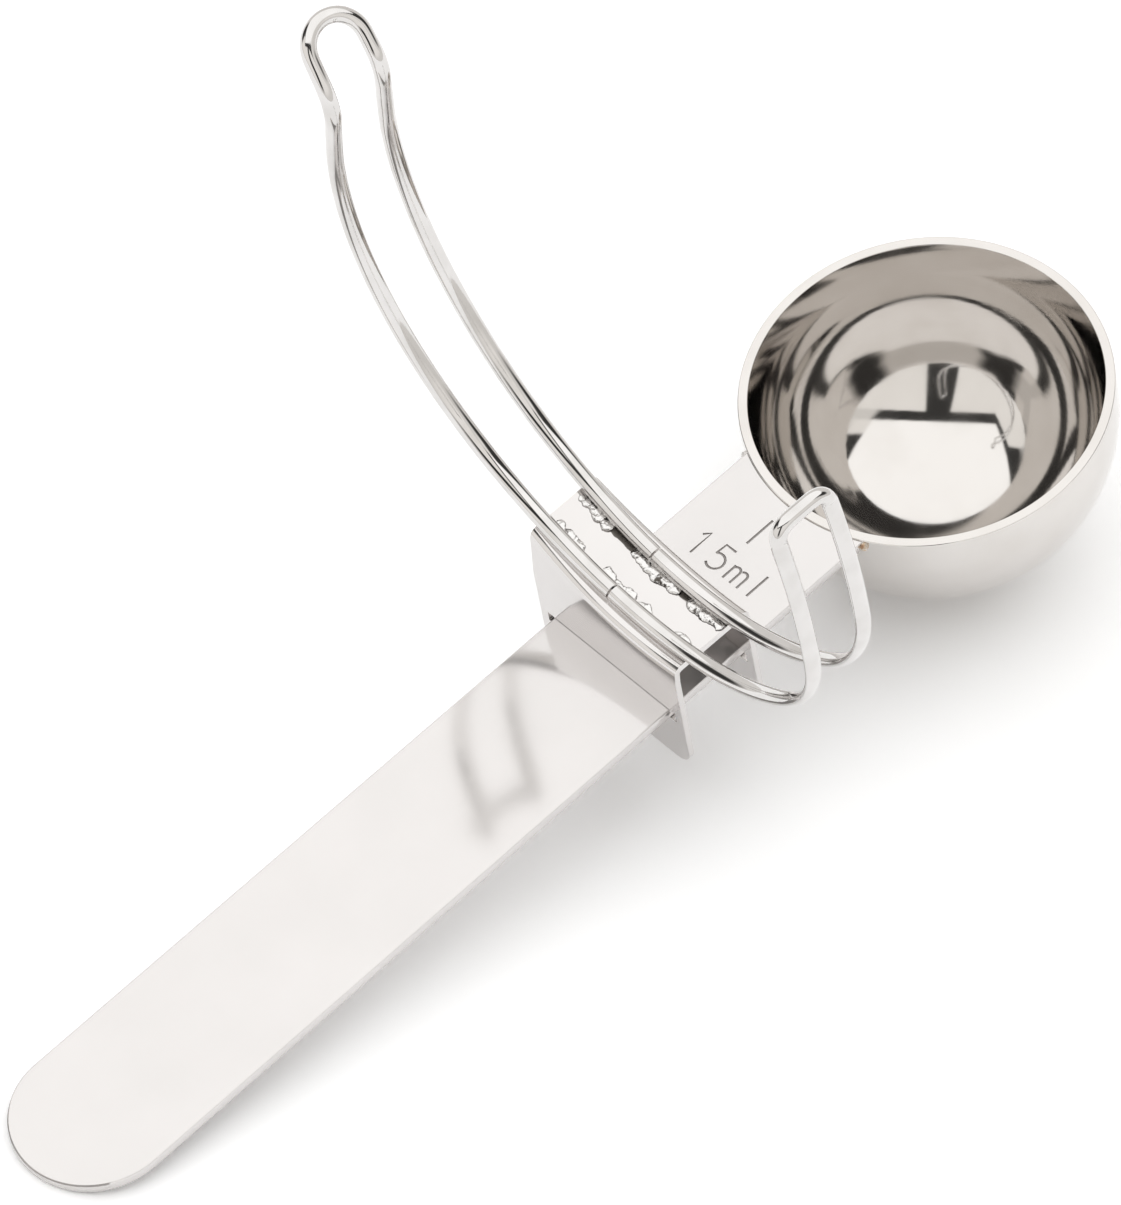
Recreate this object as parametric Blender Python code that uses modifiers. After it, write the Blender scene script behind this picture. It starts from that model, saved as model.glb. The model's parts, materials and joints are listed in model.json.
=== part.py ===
# Coffee scoop: a round bowl on a flat strip handle, with a wire clip that slides on the handle.
#
# Everything is modelled in the handle's own frame and then laid down at the angle at which the
# scoop rests: +X runs along the handle to the bowl, +Y to the side of the clip's long lever and
# +Z out of the handle's upper face. The frame's origin is the bowl's axis on that upper face.

import bpy
import bmesh
from math import asin, atan2, cos, hypot, pi, radians, sin, sqrt, tan
from mathutils import Matrix, Vector

MM = 0.001

# Bowl: half a sphere with a short straight wall, one US tablespoon level full
BOWL_INNER_RADIUS = 17.6 * MM
BOWL_WALL = 1.0 * MM
BOWL_STRAIGHT_WALL = 3.5 * MM
RIM_ABOVE_HANDLE = 0.15 * MM
RIM_ROUND = 0.3 * MM

# Handle: a flat strip with one full round end, which butts against the bowl
HANDLE_REACH = 121.1 * MM        # bowl axis to the round end
HANDLE_TIP_WIDTH = 16.8 * MM
HANDLE_NECK_WIDTH = 16.1 * MM
HANDLE_THICKNESS = 1.2 * MM
HANDLE_EDGE_ROUND = 0.15 * MM

# Weld beads where the handle's corners meet the bowl
BEAD_RADIUS = 0.5 * MM

# Saddle: a bent sheet that straddles the handle, with a slot in each flange
CLIP_STATION = 38.0 * MM         # bowl axis to the saddle's middle
CLIP_SKEW = radians(0.6)         # the clip sits a little askew in its play
SADDLE_LENGTH = 10.2 * MM        # along the handle, over both flanges
SADDLE_OVERHANG = 1.7 * MM       # past the handle on either side
SADDLE_SHEET = 0.65 * MM
SADDLE_BEND = 1.0 * MM
SADDLE_DROP = 8.0 * MM           # the flanges' lower edge, below the handle's upper face
FLANGE_CORNER = 2.2 * MM
CREASE_HEIGHT = 6.0 * MM         # above it the flanges lean in
FLANGE_LEAN = radians(5)
SLOT_SIDE_GAP = 0.65 * MM

# Clip wire: two hairpins that meet end to end on the saddle
WEB_SPACING = 5.7 * MM           # centre to centre of the arms, on the saddle
WIRE_SIZE = 1.7 * MM
ARM_WIDTH = 1.9 * MM             # the arms are pressed a little flat
ARM_THICKNESS = 1.45 * MM
BAND_THICKNESS = 1.2 * MM        # the hook's arms are pressed flatter
LOOP_SIZE = 1.65 * MM
BIGHT_SIDE = -5.8 * MM           # lowest point of the wire, across the handle
BIGHT_HEIGHT = 8.8 * MM          # its centre line, above the handle's upper face
BUTT_SIDE = 0.5 * MM             # where the two hairpins meet

# Lever: the long hairpin, two arcs from the lowest point, then a bent-back loop
LEVER_FOOT_RADIUS = 32.2 * MM
LEVER_FOOT_TURN = radians(26)
LEVER_SWEEP_RADIUS = 42.0 * MM
LEVER_SWEEP_TURN = radians(76)
LEVER_MIDDLE_SPACING = 7.0 * MM
LEVER_NECK_SPACING = 6.4 * MM
LOOP_LENGTH = 9.2 * MM
LOOP_HALF_WIDTH = 3.0 * MM
LOOP_SET_BACK = radians(38)
LOOP_LEAN = radians(7)

# Hook: the short hairpin, three arcs from the lowest point that curl in to a closed bar
HOOK_FOOT_RADIUS = 29.2 * MM
HOOK_FOOT_TURN = radians(42.5)
HOOK_CURL_RADIUS = 16.9 * MM
HOOK_CURL_TURN = radians(47)
HOOK_TIP_RADIUS = 78.0 * MM
HOOK_TIP_TURN = radians(13)
HOOK_SPACING = 6.7 * MM
HOOK_CORNER = 1.6 * MM

# Braze fillets along the inner sides of the wires
BRAZE_WIDTH = 1.1 * MM
BRAZE_HEIGHT = 0.85 * MM
BRAZE_MARGIN = 1.3 * MM          # from the outer runs' ends to the saddle's edges
BRAZE_LEVER_START = 3.6 * MM     # these four are places across the handle
BRAZE_BUTT_END = 2.2 * MM
BRAZE_BUTT_START = -3.2 * MM
BRAZE_HOOK_END = -6.2 * MM

SEAT_GAP = 0.3 * MM              # between pieces that touch
MERGE = 0.01 * MM
OVERRUN = 3.0 * MM               # how far a cutter passes the sheet that it cuts

# Numbers of steps, which set how fine the facets are
BOWL_STEPS = 56
ARC_STEPS = 14
ARM_STEP = radians(6.5)
TIP_STEPS = 28
WIRE_SIDES = 12
SADDLE_COLUMNS = 20

BOWL_OUTER_RADIUS = BOWL_INNER_RADIUS + BOWL_WALL
BALL_HEIGHT = RIM_ABOVE_HANDLE - BOWL_STRAIGHT_WALL    # centre of the bowl's half sphere
HALF_HANDLE = max(HANDLE_TIP_WIDTH, HANDLE_NECK_WIDTH) / 2
HALF_SADDLE = HALF_HANDLE + SADDLE_OVERHANG

# Each hairpin's arcs (radius, turn), and each braze run's start and end
LEVER_ARCS = ((LEVER_FOOT_RADIUS, LEVER_FOOT_TURN), (LEVER_SWEEP_RADIUS, LEVER_SWEEP_TURN))
HOOK_ARCS = ((HOOK_FOOT_RADIUS, HOOK_FOOT_TURN), (HOOK_CURL_RADIUS, HOOK_CURL_TURN),
             (HOOK_TIP_RADIUS, HOOK_TIP_TURN))
BRAZE_SPANS = {
    "lever": (BRAZE_LEVER_START, HALF_SADDLE - BRAZE_MARGIN),
    "butt": (BRAZE_BUTT_START, BRAZE_BUTT_END),
    "hook": (BRAZE_MARGIN - HALF_SADDLE, BRAZE_HOOK_END),
}

# Colour and roughness of each kind of metal
POLISHED = ((0.62, 0.61, 0.59), 0.08)
SATIN = ((0.66, 0.65, 0.64), 0.22)
DRAWN_WIRE = ((0.64, 0.63, 0.62), 0.14)
HEAT_TINTED = ((0.42, 0.36, 0.30), 0.45)
BRIGHT_BRAZE = ((0.70, 0.69, 0.66), 0.35)


def clear_scene():
    for old in list(bpy.data.objects):
        bpy.data.objects.remove(old, do_unlink=True)


def new_collection(name):
    group = bpy.data.collections.new(name)
    bpy.context.scene.collection.children.link(group)
    return group


def metal(name, finish):
    colour, roughness = finish
    material = bpy.data.materials.new(name)
    material.use_nodes = True
    shader = material.node_tree.nodes["Principled BSDF"]
    shader.inputs["Base Color"].default_value = (*colour, 1.0)
    shader.inputs["Metallic"].default_value = 1.0
    shader.inputs["Roughness"].default_value = roughness
    return material


def add_part(name, mesh, group, parent, finish, place=(0, 0, 0)):
    part = bpy.data.objects.new(name, mesh)
    group.objects.link(part)
    part.parent = parent
    part.location = place
    mesh.materials.append(metal(name, finish))
    mesh.shade_smooth()
    mesh.set_sharp_from_angle(angle=radians(35))
    return part


def mesh_from(name, build):
    """A mesh filled by build(bm), with its faces turned outwards."""
    bm = bmesh.new()
    build(bm)
    bmesh.ops.remove_doubles(bm, verts=bm.verts, dist=MERGE)
    bmesh.ops.recalc_face_normals(bm, faces=bm.faces)
    mesh = bpy.data.meshes.new(name)
    bm.to_mesh(mesh)
    bm.free()
    return mesh


def arc(centre, radius, start, end, steps):
    """Points on a circle about centre, both ends included."""
    turn = (end - start) / steps
    return [(centre[0] + radius * cos(start + turn * i), centre[1] + radius * sin(start + turn * i))
            for i in range(steps + 1)]


def loft(bm, rings, close_ends=True):
    """Joins rings of points, all with the same count, into a skin."""
    rows = [[bm.verts.new(point) for point in ring] for ring in rings]
    for row, following in zip(rows, rows[1:]):
        for i in range(len(row)):
            j = (i + 1) % len(row)
            bm.faces.new((row[i], row[j], following[j], following[i]))
    if close_ends:
        bm.faces.new(rows[0][::-1])
        bm.faces.new(rows[-1])


# Bowl

def bowl_mesh():
    """The wall's section from the inner pole over the rim and down the outside."""
    ball = (0, BALL_HEIGHT)
    section = arc(ball, BOWL_INNER_RADIUS, -pi / 2, 0, ARC_STEPS)
    rim_in = (BOWL_INNER_RADIUS + RIM_ROUND, RIM_ABOVE_HANDLE - RIM_ROUND)
    rim_out = (BOWL_OUTER_RADIUS - RIM_ROUND, RIM_ABOVE_HANDLE - RIM_ROUND)
    section += arc(rim_in, RIM_ROUND, pi, pi / 2, 3)
    section += arc(rim_out, RIM_ROUND, pi / 2, 0, 3)
    section += arc(ball, BOWL_OUTER_RADIUS, 0, -pi / 2, ARC_STEPS)

    mesh = bpy.data.meshes.new("bowl")
    bm = bmesh.new()
    verts = [bm.verts.new((x, 0, z)) for x, z in section]
    for a, b in zip(verts, verts[1:]):
        bm.edges.new((a, b))
    bm.to_mesh(mesh)
    bm.free()
    return mesh


def make_bowl(group, frame):
    bowl = add_part("bowl", bowl_mesh(), group, frame, POLISHED)
    turn = bowl.modifiers.new("turn", "SCREW")
    turn.axis = "Z"
    turn.steps = BOWL_STEPS
    turn.render_steps = BOWL_STEPS
    turn.use_merge_vertices = True
    turn.merge_threshold = MERGE
    turn.use_smooth_shade = True
    return bowl


# Handle

def handle_half_width(x):
    """Half the strip's width at x, which tapers a little from the round end to the bowl."""
    share = -x / HANDLE_REACH
    return (HANDLE_NECK_WIDTH + (HANDLE_TIP_WIDTH - HANDLE_NECK_WIDTH) * share) / 2


def handle_outline():
    seat = BOWL_OUTER_RADIUS + SEAT_GAP
    half = handle_half_width(-seat)
    reach = asin(half / seat)
    neck = arc((0, 0), seat, pi + reach, pi - reach, ARC_STEPS)
    tip_half = HANDLE_TIP_WIDTH / 2
    tip = arc((tip_half - HANDLE_REACH, 0), tip_half, pi / 2, 3 * pi / 2, TIP_STEPS)
    return neck + tip


def make_handle(group, frame):
    """The outline as a flat filled curve, made a mesh so that its edges can be rounded."""
    outline = handle_outline()
    curve = bpy.data.curves.new("handle_outline", "CURVE")
    curve.dimensions = "2D"
    curve.fill_mode = "BOTH"
    curve.extrude = HANDLE_THICKNESS / 2
    spline = curve.splines.new("POLY")
    spline.points.add(len(outline) - 1)
    for point, (x, y) in zip(spline.points, outline):
        point.co = (x, y, 0, 1)
    spline.use_cyclic_u = True
    guide = bpy.data.objects.new("handle_outline", curve)
    group.objects.link(guide)
    bpy.context.view_layer.update()
    graph = bpy.context.evaluated_depsgraph_get()
    flat = bpy.data.meshes.new_from_object(guide.evaluated_get(graph))
    bpy.data.objects.remove(guide, do_unlink=True)

    def build(bm):
        bm.from_mesh(flat)
        bmesh.ops.remove_doubles(bm, verts=bm.verts, dist=MERGE)
        bmesh.ops.dissolve_limit(bm, angle_limit=radians(1), verts=bm.verts, edges=bm.edges)

    handle = add_part("handle_strip", mesh_from("handle_strip", build), group, frame, SATIN,
                      place=(0, 0, -HANDLE_THICKNESS / 2))
    edge = handle.modifiers.new("edge", "BEVEL")
    edge.width = HANDLE_EDGE_ROUND
    edge.segments = 2
    edge.limit_method = "ANGLE"
    edge.angle_limit = radians(60)
    return handle


def make_weld_beads(group, frame):
    """A bead in each corner between the strip's side and the bowl's wall."""
    away = BOWL_OUTER_RADIUS + SEAT_GAP + BEAD_RADIUS
    side = handle_half_width(-away) + SEAT_GAP + BEAD_RADIUS
    for name, sign in (("weld_bead_left", 1), ("weld_bead_right", -1)):
        mesh = mesh_from(name, lambda bm: bmesh.ops.create_uvsphere(
            bm, u_segments=12, v_segments=8, radius=BEAD_RADIUS))
        add_part(name, mesh, group, frame, HEAT_TINTED,
                 place=(-sqrt(away ** 2 - side ** 2), sign * side, -HANDLE_THICKNESS / 2))


# Clip wire: its centre line lies in planes across the handle

def wire_height(y):
    """Height of the wire's centre line above the handle, near its lowest point."""
    arcs = LEVER_ARCS if y > BIGHT_SIDE else HOOK_ARCS
    radius = arcs[0][0]
    return BIGHT_HEIGHT + radius - sqrt(radius ** 2 - (y - BIGHT_SIDE) ** 2)


def climb(sign, arcs, lead):
    """Points (y, z) along tangent arcs from the lowest point, without the first angle, lead."""
    y, z, slope = BIGHT_SIDE, BIGHT_HEIGHT, 0
    points = []
    for radius, turn in arcs:
        centre = (y - sign * radius * sin(slope), z + radius * cos(slope))
        steps = max(3, round(turn / ARM_STEP))
        for i in range(steps + 1):
            angle = slope + turn * i / steps
            if angle > lead or not points:
                angle = max(angle, lead)
                points.append((centre[0] + sign * radius * sin(angle),
                               centre[1] - radius * cos(angle)))
        y, z = points.pop()
        slope += turn
    return points + [(y, z)]


def lever_arm():
    """One arm's centre line in (y, z), from the butt joint to the neck of the loop."""
    lead = asin((BUTT_SIDE + SEAT_GAP / 2 - BIGHT_SIDE) / LEVER_ARCS[0][0])
    return climb(1, LEVER_ARCS, lead)


def hook_arm():
    """One arm's centre line in (y, z), from the butt joint to the corner of the bar."""
    start = BUTT_SIDE - SEAT_GAP / 2
    web = [start + (BIGHT_SIDE - start) * share for share in (0, 1 / 3, 2 / 3)]
    return [(y, wire_height(y)) for y in web] + climb(-1, HOOK_ARCS, 0)


def lever_half_spacing(share):
    """Half the gap between the lever's arms: at the web, bowed out in the middle, at the neck."""
    even = WEB_SPACING + (LEVER_NECK_SPACING - WEB_SPACING) * share
    bow = LEVER_MIDDLE_SPACING - (WEB_SPACING + LEVER_NECK_SPACING) / 2
    return (even + bow * 4 * share * (1 - share)) / 2


def hook_half_spacing(share):
    return (WEB_SPACING + (HOOK_SPACING - WEB_SPACING) * min(1, 2 * share)) / 2


def sweep(name, path, sizes):
    """Lofts a wire along path, a list of (point, flat normal), with (width, thickness) sizes."""
    points = [Vector(point) for point, _ in path]
    rings = []
    for i, (point, (_, normal)) in enumerate(zip(points, path)):
        before = points[max(i - 1, 0)]
        after = points[min(i + 1, len(points) - 1)]
        along = (after - before).normalized()
        out = Vector(normal)
        out = (out - along * out.dot(along)).normalized()
        across = along.cross(out)
        width, thickness = sizes[i]
        rings.append([point + across * (cos(turn) * width / 2) + out * (sin(turn) * thickness / 2)
                      for turn in (2 * pi * k / WIRE_SIDES for k in range(WIRE_SIDES))])
    return mesh_from(name, lambda bm: loft(bm, rings))


def rise_shares(arm):
    """How far up the arm each of its points is, from none at its lowest to one at its end."""
    top = arm[-1][1]
    return [max(z - BIGHT_HEIGHT, 0) / (top - BIGHT_HEIGHT) for _, z in arm]


def arm_path(arm, sides):
    """An arm's (point, normal) pairs, at x from sides, with each normal in the arm's plane."""
    path = []
    for i, ((y, z), x) in enumerate(zip(arm, sides)):
        before = arm[max(i - 1, 0)]
        after = arm[min(i + 1, len(arm) - 1)]
        along = Vector((0, after[0] - before[0], after[1] - before[1])).normalized()
        path.append((Vector((x, y, z)), along.cross(Vector((1, 0, 0)))))
    return path


def both_arms(arm, half_spacing):
    halves = [half_spacing(share) for share in rise_shares(arm)]
    return arm_path(arm, [-half for half in halves]), arm_path(arm, halves)


def make_lever(group, clip):
    arm = lever_arm()
    left, right = both_arms(arm, lever_half_spacing)
    neck_half = LEVER_NECK_SPACING / 2

    # The loop in its own plane: (across, along) from the middle of the neck
    crown = LOOP_LENGTH - LOOP_HALF_WIDTH
    side = [(-neck_half - (LOOP_HALF_WIDTH - neck_half) * (1 - cos(pi * share)) / 2, crown * share)
            for share in (0.25, 0.5, 0.75)]
    loop = side + arc((0, crown), LOOP_HALF_WIDTH, pi, 0, ARC_STEPS)
    loop += [(-across, along) for across, along in reversed(side)]

    neck = Vector((0, *arm[-1]))
    set_back = Matrix.Rotation(-LOOP_SET_BACK, 3, "X")
    lean = Matrix.Rotation(LOOP_LEAN, 3, "Y")
    normal = set_back @ Vector((0, 1, 0))
    bent = [(neck + set_back @ (lean @ Vector((across, 0, along))), normal) for across, along in loop]
    path = left + bent + right[::-1]

    count = len(arm)
    sizes = []
    for i in range(count):
        press = min(1, i / (count / 3)) * min(1, (count - 1 - i) / 2)
        sizes.append((WIRE_SIZE + (ARM_WIDTH - WIRE_SIZE) * press,
                      WIRE_SIZE + (ARM_THICKNESS - WIRE_SIZE) * press))
    sizes = sizes + [(LOOP_SIZE, LOOP_SIZE)] * len(bent) + sizes[::-1]
    add_part("lever_wire", sweep("lever_wire", path, sizes), group, clip, DRAWN_WIRE)


def make_hook(group, clip):
    arm = hook_arm()
    left, right = both_arms(arm, hook_half_spacing)

    # The closed bar, with its two corners, in the plane of the arms' upper ends
    top = left[-1][0]
    up = (left[-1][0] - left[-2][0]).normalized()
    normal = left[-1][1]
    corner = arc((HOOK_CORNER, 0), HOOK_CORNER, pi, pi / 2, 4)[1:]
    bar = corner + [(HOOK_SPACING - across, rise) for across, rise in reversed(corner)]
    bent = [(top + Vector((across, 0, 0)) + up * rise, normal) for across, rise in bar]
    path = left + bent + right[::-1]

    count = len(arm)
    sizes = []
    for i in range(count):
        press = min(1, i / (count / 2))
        sizes.append((WIRE_SIZE + (ARM_WIDTH - WIRE_SIZE) * press,
                      WIRE_SIZE + (BAND_THICKNESS - WIRE_SIZE) * press))
    sizes = sizes + [(WIRE_SIZE, WIRE_SIZE)] * len(bent) + sizes[::-1]
    add_part("hook_wire", sweep("hook_wire", path, sizes), group, clip, DRAWN_WIRE)


# Saddle

def web_height(y):
    """The saddle's upper face follows the wires that lie on it."""
    return wire_height(y) - WIRE_SIZE / 2 - SEAT_GAP


def flange_foot(y):
    """Height of the flanges' lower edge, whose two corners are rounded."""
    past = abs(y) - (HALF_SADDLE - FLANGE_CORNER)
    if past <= 0:
        return -SADDLE_DROP
    return FLANGE_CORNER - SADDLE_DROP - sqrt(max(FLANGE_CORNER ** 2 - past ** 2, 0))


def saddle_column(y):
    """The sheet's outer face at y: up one flange, over the web and down the other, in (x, z)."""
    top = web_height(y)
    half = SADDLE_LENGTH / 2
    lean = tan(FLANGE_LEAN) * max(top - SADDLE_BEND - CREASE_HEIGHT, 0)
    crease = min(CREASE_HEIGHT, top - SADDLE_BEND)
    foot = flange_foot(y)
    rise = [(-half, foot + (crease - foot) * share) for share in (0, 0.3, 0.6, 1)]
    bend = arc((lean + SADDLE_BEND - half, top - SADDLE_BEND), SADDLE_BEND, pi, pi / 2, 4)
    near = rise + bend
    far = [(-x, z) for x, z in reversed(near)]
    return near + [(0, top)] + far


def column_sides():
    """Places across the saddle, closer together at its rounded ends."""
    inner = HALF_SADDLE - FLANGE_CORNER
    ends = [inner + FLANGE_CORNER * sin(pi / 2 * share) for share in (0.25, 0.5, 0.75, 1)]
    middle = [-inner + 2 * inner * i / SADDLE_COLUMNS for i in range(SADDLE_COLUMNS + 1)]
    return [-end for end in reversed(ends)] + middle + ends


def make_saddle(group, cutters, clip):
    def build(bm):
        columns = [[bm.verts.new((x, y, z)) for x, z in saddle_column(y)] for y in column_sides()]
        for column, following in zip(columns, columns[1:]):
            for i in range(len(column) - 1):
                bm.faces.new((column[i], column[i + 1], following[i + 1], following[i]))

    saddle = add_part("clip_saddle", mesh_from("clip_saddle", build), group, clip, SATIN)
    sheet = saddle.modifiers.new("sheet", "SOLIDIFY")
    sheet.thickness = SADDLE_SHEET
    sheet.offset = -1
    sheet.use_even_offset = True

    # One cutter opens the slot for the handle in both flanges
    slot_width = 2 * (HALF_HANDLE + SLOT_SIDE_GAP)
    slot_height = HANDLE_THICKNESS + 2 * SEAT_GAP
    slot_length = SADDLE_LENGTH + 2 * OVERRUN
    block = mesh_from("handle_slot", lambda bm: bmesh.ops.create_cube(
        bm, size=1, matrix=Matrix.Diagonal((slot_length, slot_width, slot_height, 1))))
    slot = bpy.data.objects.new("handle_slot", block)
    cutters.objects.link(slot)
    slot.parent = clip
    slot.location = (0, 0, -HANDLE_THICKNESS / 2)
    slot.hide_render = True
    slot.display_type = "WIRE"
    cut = saddle.modifiers.new("slot", "BOOLEAN")
    cut.operation = "DIFFERENCE"
    cut.object = slot
    cut.solver = "EXACT"
    return saddle


def make_braze(group, clip):
    """Fillets in the corner between the saddle's face and each wire's inner side."""
    foot = WIRE_SIZE / 2 + SEAT_GAP
    for side, sign in (("left", 1), ("right", -1)):
        for place, (start, end) in BRAZE_SPANS.items():
            rings = []
            for share in (0, 0.12, 0.5, 0.88, 1):
                y = start + (end - start) * share
                swell = 0.55 if share in (0, 1) else 1
                base = web_height(y) + SEAT_GAP
                inner = -sign * (WEB_SPACING / 2 - foot)
                outer = inner + sign * BRAZE_WIDTH * swell
                rings.append([(inner, y, base), (outer, y, base),
                              (inner, y, base + BRAZE_HEIGHT * swell)])
            name = f"braze_{side}_{place}"
            mesh = mesh_from(name, lambda bm: loft(bm, rings))
            add_part(name, mesh, group, clip, BRIGHT_BRAZE)


def lay_down(frame, group):
    """Rests the scoop on its bowl and its handle's end, over the middle of its own box."""
    frame.rotation_euler = (0, -resting_pitch(), 0)
    bpy.context.view_layer.update()
    graph = bpy.context.evaluated_depsgraph_get()
    corners = []
    for part in group.objects:
        if part.type == "MESH":
            shape = part.evaluated_get(graph)
            corners += [shape.matrix_world @ vertex.co for vertex in shape.data.vertices]
    low = [min(corner[axis] for corner in corners) for axis in range(3)]
    high = [max(corner[axis] for corner in corners) for axis in range(3)]
    frame.location = (-(low[0] + high[0]) / 2, -(low[1] + high[1]) / 2, -low[2])
    bpy.context.view_layer.update()


def resting_pitch():
    """The slope of a line under the handle's end that touches the bowl's ball from below."""
    fall = BALL_HEIGHT + HANDLE_THICKNESS
    reach = hypot(HANDLE_REACH, fall)
    return asin(BOWL_OUTER_RADIUS / reach) - atan2(fall, HANDLE_REACH)


def main():
    clear_scene()
    group = new_collection("coffee_scoop")
    cutters = new_collection("cutters")

    frame = bpy.data.objects.new("handle_frame", None)
    group.objects.link(frame)
    clip = bpy.data.objects.new("clip_slide", None)    # on the slide's axis, at rest
    group.objects.link(clip)
    clip.parent = frame
    clip.location = (-CLIP_STATION, 0, 0)
    clip.rotation_euler = (0, 0, -CLIP_SKEW)

    make_bowl(group, frame)
    make_handle(group, frame)
    make_weld_beads(group, frame)
    make_saddle(group, cutters, clip)
    make_lever(group, clip)
    make_hook(group, clip)
    make_braze(group, clip)
    lay_down(frame, group)


main()
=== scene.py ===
# Coffee scoop with a wire clip that slides along its strip handle: finishes, fine shapes, studio.
# Lengths are in metres. The pieces are worked out in the handle's own frame, with +X along the
# handle to the bowl, +Y to the side of the long lever and +Z out of the handle's upper face.

import json
from math import asin, atan2, cos, pi, radians, sin, sqrt, tan

import bpy
import bmesh
from mathutils import Matrix, Vector


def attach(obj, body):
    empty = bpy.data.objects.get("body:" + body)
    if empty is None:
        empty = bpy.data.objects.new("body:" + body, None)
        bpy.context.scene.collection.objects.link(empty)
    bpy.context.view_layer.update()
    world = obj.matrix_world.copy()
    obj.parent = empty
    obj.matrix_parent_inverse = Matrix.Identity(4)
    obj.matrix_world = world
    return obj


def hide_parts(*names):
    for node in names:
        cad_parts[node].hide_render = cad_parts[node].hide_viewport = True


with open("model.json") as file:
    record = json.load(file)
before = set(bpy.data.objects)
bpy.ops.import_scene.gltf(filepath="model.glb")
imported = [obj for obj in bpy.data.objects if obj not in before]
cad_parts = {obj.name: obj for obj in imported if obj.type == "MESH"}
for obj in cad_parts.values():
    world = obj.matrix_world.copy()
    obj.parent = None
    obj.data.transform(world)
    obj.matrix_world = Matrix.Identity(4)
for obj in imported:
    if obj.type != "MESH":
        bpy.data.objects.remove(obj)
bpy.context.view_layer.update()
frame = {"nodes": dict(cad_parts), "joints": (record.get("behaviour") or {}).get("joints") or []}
mm = 0.001
mergeDistance = 0.001 * mm

scoop = {
    "rimAboveHandle": 0.15 * mm,
    "bowlRadius": 18.6 * mm,     # outside
    "handleThickness": 1.2 * mm,
    "clipStation": 38.0 * mm,    # bowl's axis to the middle of the saddle
    "clipSkew": radians(0.6),
}


def findHandleFrame():
    # the joint runs along the handle, and the bowl's box in the turned frame gives the origin
    axis = frame["joints"][0]["axis"]
    turn = Matrix.Rotation(-atan2(axis[2], axis[0]), 4, "Y")
    back = turn.inverted()
    points = [back @ vertex.co for vertex in frame["nodes"]["bowl"].data.vertices]
    middle = [(min(p[i] for p in points) + max(p[i] for p in points)) / 2 for i in range(2)]
    top = max(p[2] for p in points) - scoop["rimAboveHandle"]
    return turn @ Matrix.Translation((*middle, top))


handleFrame = findHandleFrame()
clipFrame = (handleFrame @ Matrix.Translation((-scoop["clipStation"], 0, 0))
             @ Matrix.Rotation(-scoop["clipSkew"], 4, "Z"))
handleTurn = handleFrame.to_euler()
print("handle frame found, slope", round(-handleTurn.y * 180 / pi, 2), "degrees")


class Signal:
    # one output socket of a node tree, which takes part in sums as a number does
    def __init__(self, tree, socket):
        self.tree = tree
        self.socket = socket

    def math(self, operation, first, second=0.0, clamp=False):
        settings = {"operation": operation, "use_clamp": clamp}
        return self.tree.add("ShaderNodeMath", settings, {0: first, 1: second})

    def __add__(self, other):
        return self.math("ADD", self, other)

    def __radd__(self, other):
        return self.math("ADD", other, self)

    def __sub__(self, other):
        return self.math("SUBTRACT", self, other)

    def __rsub__(self, other):
        return self.math("SUBTRACT", other, self)

    def __mul__(self, other):
        return self.math("MULTIPLY", self, other)

    def __rmul__(self, other):
        return self.math("MULTIPLY", other, self)

    def __truediv__(self, other):
        return self.math("DIVIDE", self, other)

    def __neg__(self):
        return self.math("MULTIPLY", self, -1.0)

    def sine(self):
        return self.math("SINE", self)

    def size(self):
        return self.math("ABSOLUTE", self)

    def least(self, other):
        return self.math("MINIMUM", self, other)

    def most(self, other):
        return self.math("MAXIMUM", self, other)

    def past(self, place, softness):
        # 0 below place, 1 above it, over a soft edge
        return self.math("ADD", (self - place) / softness, 0.5, clamp=True)

    def out(self, name):
        return Signal(self.tree, self.socket.node.outputs[name])


class Tree:
    # builds the nodes of a material, of the world or of a geometry group
    def __init__(self, tree):
        self.tree = tree
        tree.nodes.clear()

    def add(self, kind, settings=None, sockets=None):
        node = self.tree.nodes.new(kind)
        for name, value in (settings or {}).items():
            if name == "stops":
                self.setStops(node.color_ramp, value)
            else:
                setattr(node, name, value)
        for name, value in (sockets or {}).items():
            self.feed(self.findInput(node, name), value)
        outputs = [socket for socket in node.outputs if socket.enabled]
        return Signal(self, outputs[0]) if outputs else node

    def findInput(self, node, name):
        if isinstance(name, int):
            return node.inputs[name]
        return next(s for s in node.inputs if s.name == name and s.enabled)

    def feed(self, socket, value):
        if isinstance(value, Signal):
            self.tree.links.new(value.socket, socket)
        elif socket.type == "RGBA":
            socket.default_value = (*value[:3], 1.0)
        else:
            socket.default_value = value

    def setStops(self, ramp, stops):
        for _ in range(len(stops) - 2):
            ramp.elements.new(0.5)
        for element, (place, colour) in zip(ramp.elements, stops):
            element.position = place
            element.color = (*colour, 1.0)

    def mix(self, share, first, second):
        # a colour between two colours
        settings = {"data_type": "RGBA", "clamp_factor": True}
        sockets = {"Factor": share, "A": first, "B": second}
        return self.add("ShaderNodeMix", settings, sockets)

    def noise(self, where, scale, detail=2.0, roughness=0.5):
        sockets = {"Vector": where, "Scale": scale, "Detail": detail, "Roughness": roughness}
        return self.add("ShaderNodeTexNoise", {}, sockets)

    def split(self, where):
        # a vector whose parts are read with out("X"), out("Y") and out("Z")
        return self.add("ShaderNodeSeparateXYZ", {}, {"Vector": where})

    def vector(self, operation, first, second):
        # vector maths with a second vector, or for SCALE with a number
        place = "Scale" if operation == "SCALE" else 1
        settings = {"operation": operation}
        return self.add("ShaderNodeVectorMath", settings, {0: first, place: second})


# Materials

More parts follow.
